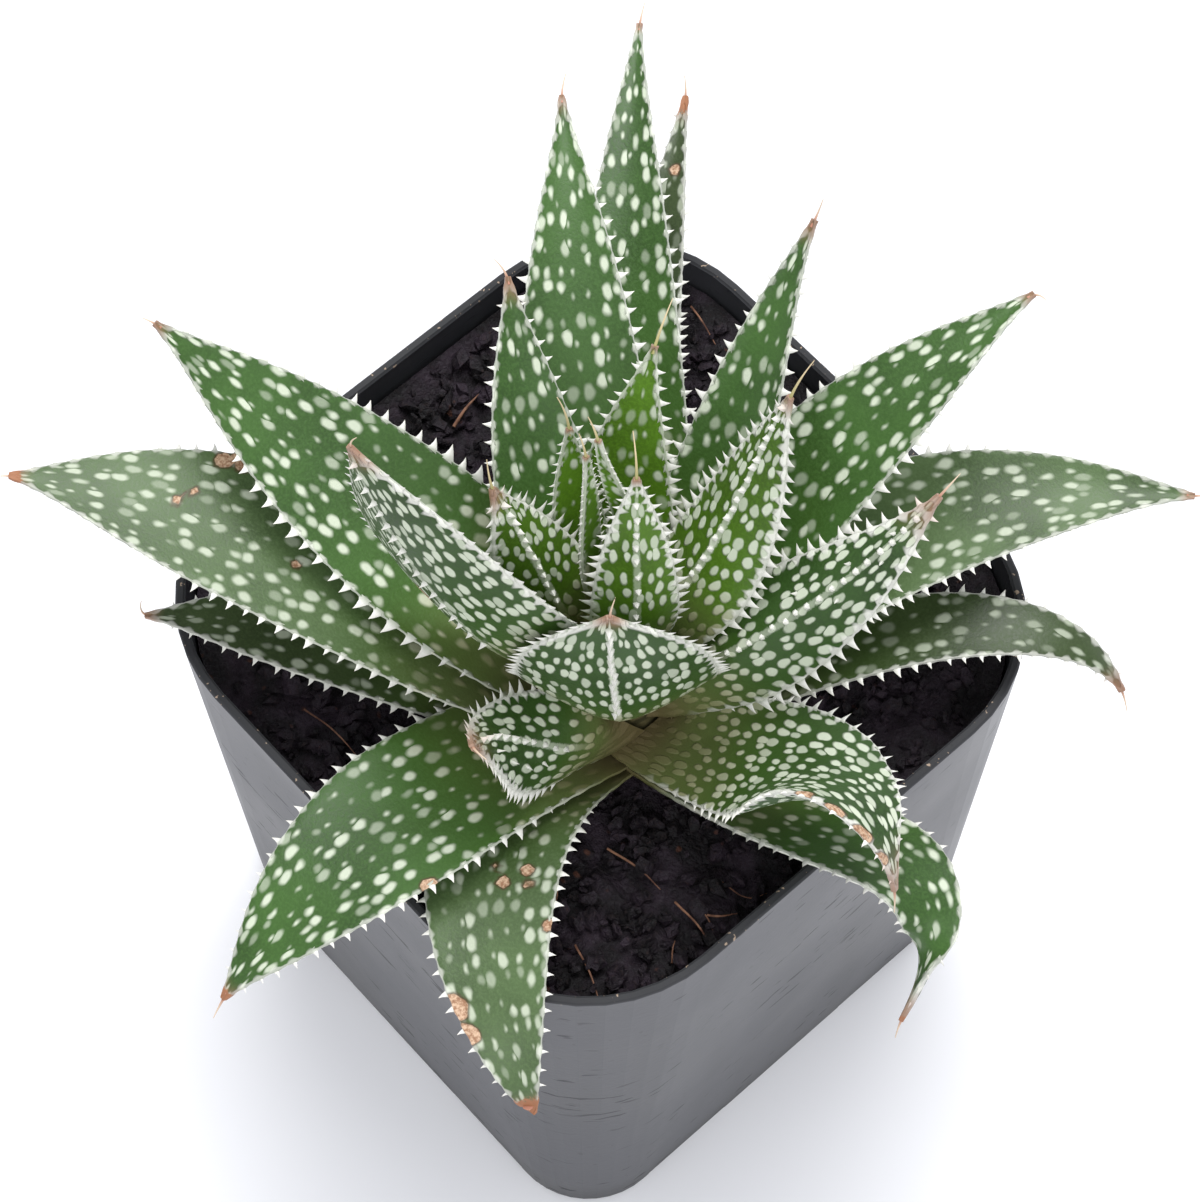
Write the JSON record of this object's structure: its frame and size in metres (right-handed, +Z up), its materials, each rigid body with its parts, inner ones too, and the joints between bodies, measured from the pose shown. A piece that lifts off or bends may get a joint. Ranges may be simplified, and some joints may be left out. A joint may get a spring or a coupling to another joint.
{
  "type": "potted aloe",
  "caption": "Young lace aloe: a rosette of toothed, white-spotted fleshy leaves on a short stem, in bark soil in a square tapered plastic nursery pot.",
  "frame": {"origin": "middle of the pot's underside, on the surface that the pot stands on", "axes": "+Z up; the pot's flat sides face +X, -X, +Y and -Y; the plant leans off the pot's middle towards +X and -Y"},
  "size_m": [0.1212, 0.1319, 0.1529],
  "materials": {
    "pot_plastic": "satin dark grey plastic, lightly scuffed",
    "soil_bark": "moist dark bark and coir crumbs",
    "stem_skin": "dull olive skin",
    "leaf_green": "satin mid green with white spots and white horny teeth",
    "leaf_young": "satin bright young green with white spots and white teeth",
    "leaf_old": "satin grey green with white spots and dry orange tips",
    "leaf_olive": "satin olive green with tan spots"
  },
  "bodies": {
    "root": {"pot": "pot_plastic", "soil": "soil_bark", "stem": "stem_skin", "leaf_far_left": "leaf_old", "leaf_left_low": "leaf_olive", "leaf_upper_left": "leaf_green", "leaf_inner_left": "leaf_green", "leaf_small_left": "leaf_young", "leaf_back_left": "leaf_green", "leaf_back_tall": "leaf_green", "leaf_back_dark": "leaf_olive", "leaf_back_short": "leaf_green", "leaf_back_right": "leaf_green", "leaf_right_high": "leaf_green", "leaf_far_right": "leaf_old", "leaf_right_low": "leaf_olive", "leaf_inner_right": "leaf_green", "leaf_front_upright": "leaf_green", "leaf_front_curled": "leaf_green", "leaf_front_right": "leaf_green", "leaf_right_drooping": "leaf_green", "leaf_heart_back": "leaf_young", "leaf_heart_left": "leaf_young", "leaf_spear_left": "leaf_young", "leaf_spear_right": "leaf_young", "leaf_heart_front": "leaf_young", "leaf_heart_right": "leaf_young", "leaf_front_left": "leaf_green", "leaf_front_low": "leaf_old"}
  },
  "joints": []
}
